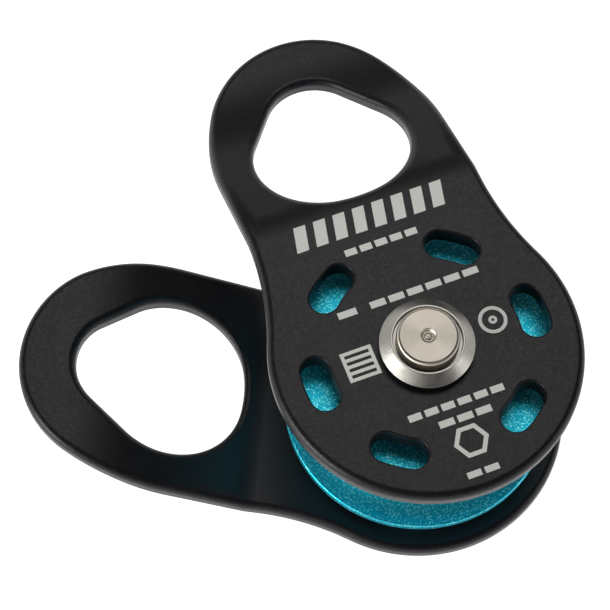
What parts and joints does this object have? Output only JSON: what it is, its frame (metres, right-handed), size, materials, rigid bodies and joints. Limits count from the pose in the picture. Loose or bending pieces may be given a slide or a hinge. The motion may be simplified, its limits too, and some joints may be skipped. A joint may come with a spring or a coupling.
{
  "type": "rope pulley",
  "caption": "Swing-cheek rope pulley with a grooved wheel on sealed ball bearings between two bent cheek plates with carabiner eyes.",
  "frame": {"origin": "centre of the rope groove, on the axle's axis and halfway between the cheek plates", "axes": "+Z along the axle towards the front cheek, +Y from the axle to the front cheek's carabiner eye"},
  "size_m": [0.0741, 0.0781, 0.0346],
  "materials": {
    "anodised_black": "satin black anodised, fine blasted grain",
    "anodised_teal": "bead blasted teal anodised",
    "stainless": "turned, lightly polished",
    "stainless_bevelled": "turned bevel",
    "stainless_plain": "turned",
    "friction_polymer": "moulded, matte",
    "bush_polymer": "moulded, matte",
    "bearing_steel": "ground",
    "ball_steel": "polished",
    "cage_steel": "pressed",
    "shield_steel": "pressed, satin"
  },
  "bodies": {
    "axle_assembly": {"axle": "stainless", "front_cap_washer": "stainless_bevelled", "rear_cap_washer": "stainless_bevelled", "front_friction_washer": "friction_polymer", "rear_friction_washer": "friction_polymer", "front_thrust_washer": "stainless_plain", "rear_thrust_washer": "stainless_plain", "bearing_spacer": "stainless_plain", "front_bearing_inner_race": "bearing_steel", "rear_bearing_inner_race": "bearing_steel"},
    "front_cheek_plate": {"front_cheek": "anodised_black", "front_cheek_bush": "bush_polymer"},
    "rear_cheek_plate": {"rear_cheek": "anodised_black", "rear_cheek_bush": "bush_polymer"},
    "wheel": {"sheave": "anodised_teal", "front_bearing_outer_race": "bearing_steel", "front_bearing_outer_shield": "shield_steel", "front_bearing_inner_shield": "shield_steel", "rear_bearing_outer_race": "bearing_steel", "rear_bearing_outer_shield": "shield_steel", "rear_bearing_inner_shield": "shield_steel"},
    "front_ball_set": {"front_bearing_balls": "ball_steel", "front_bearing_cage": "cage_steel"},
    "rear_ball_set": {"rear_bearing_balls": "ball_steel", "rear_bearing_cage": "cage_steel"}
  },
  "joints": [
    {"name": "front_cheek_swing", "type": "hinge", "parent": "axle_assembly", "child": "front_cheek_plate", "pos_m": [0, 0, 0], "axis": [0, 0, 1], "continuous": true},
    {"name": "rear_cheek_swing", "type": "hinge", "parent": "axle_assembly", "child": "rear_cheek_plate", "pos_m": [0, 0, 0], "axis": [0, 0, 1], "continuous": true},
    {"name": "sheave_spin", "type": "hinge", "parent": "axle_assembly", "child": "wheel", "pos_m": [0, 0, 0], "axis": [0, 0, 1], "continuous": true},
    {"name": "front_balls_orbit", "type": "hinge", "parent": "axle_assembly", "child": "front_ball_set", "pos_m": [0, 0, 0], "axis": [0, 0, 1], "continuous": true},
    {"name": "rear_balls_orbit", "type": "hinge", "parent": "axle_assembly", "child": "rear_ball_set", "pos_m": [0, 0, 0], "axis": [0, 0, 1], "continuous": true}
  ],
  "couplings": [
    {"joint": "front_balls_orbit", "follows": "sheave_spin", "ratio": 0.63233},
    {"joint": "rear_balls_orbit", "follows": "sheave_spin", "ratio": 0.63233}
  ]
}
